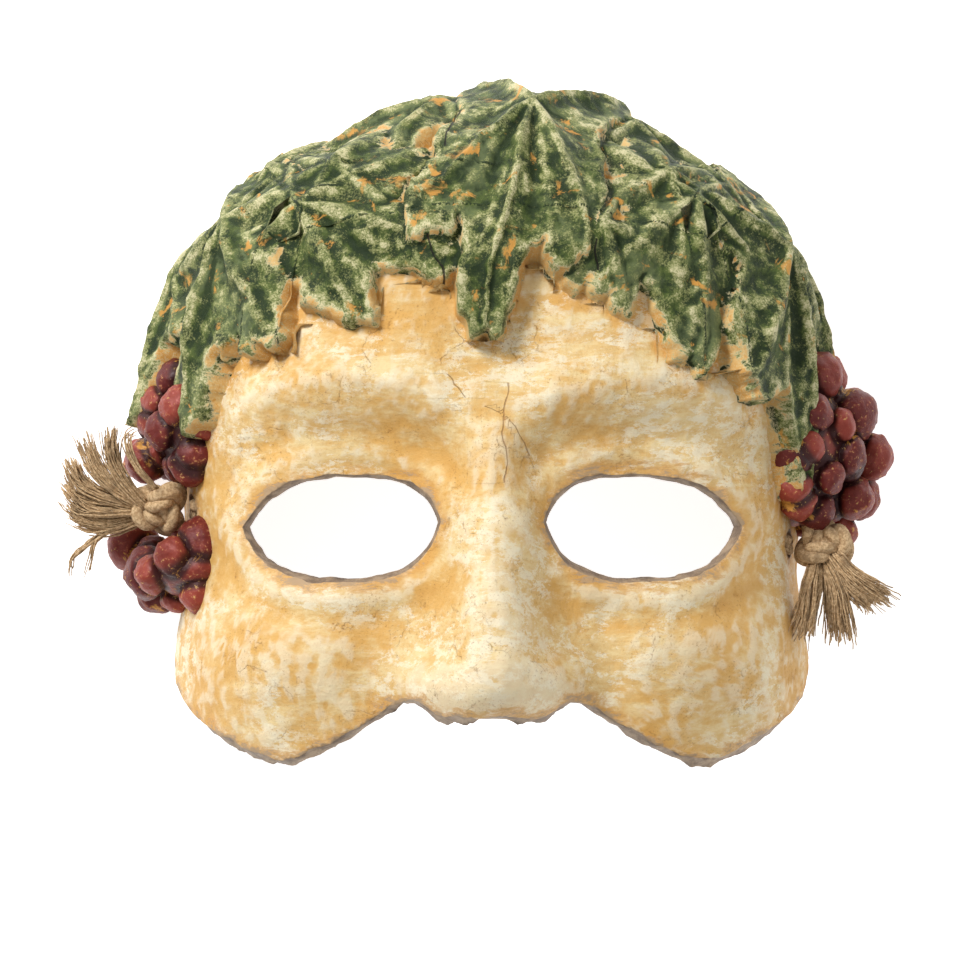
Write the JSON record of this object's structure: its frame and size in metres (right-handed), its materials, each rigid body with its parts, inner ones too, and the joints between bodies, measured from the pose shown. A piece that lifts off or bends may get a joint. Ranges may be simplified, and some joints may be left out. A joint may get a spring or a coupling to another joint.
{
  "type": "half mask",
  "caption": "Painted papier-mache half mask with open eyes, vine leaves over the brow, grapes at the temples and a knotted jute head cord.",
  "frame": {"origin": "middle of the mask's own box, without the rope, on the plane that its back rim rests on", "axes": "+X is the viewer's right and runs from temple to temple, +Y points to the crown of the head, +Z points out of the face"},
  "size_m": [0.1998, 0.1644, 0.0884],
  "materials": {
    "face_paint": "cream and ochre paint over papier-mache, scuffed",
    "leaf_paint": "dark green paint, rubbed pale on the ridges",
    "grape_paint": "maroon paint with a coppery sheen",
    "jute": "twisted jute rope, frayed"
  },
  "bodies": {
    "root": {"mask": "face_paint", "left_knot": "jute", "right_knot": "jute", "head_cord": "jute"}
  },
  "joints": []
}
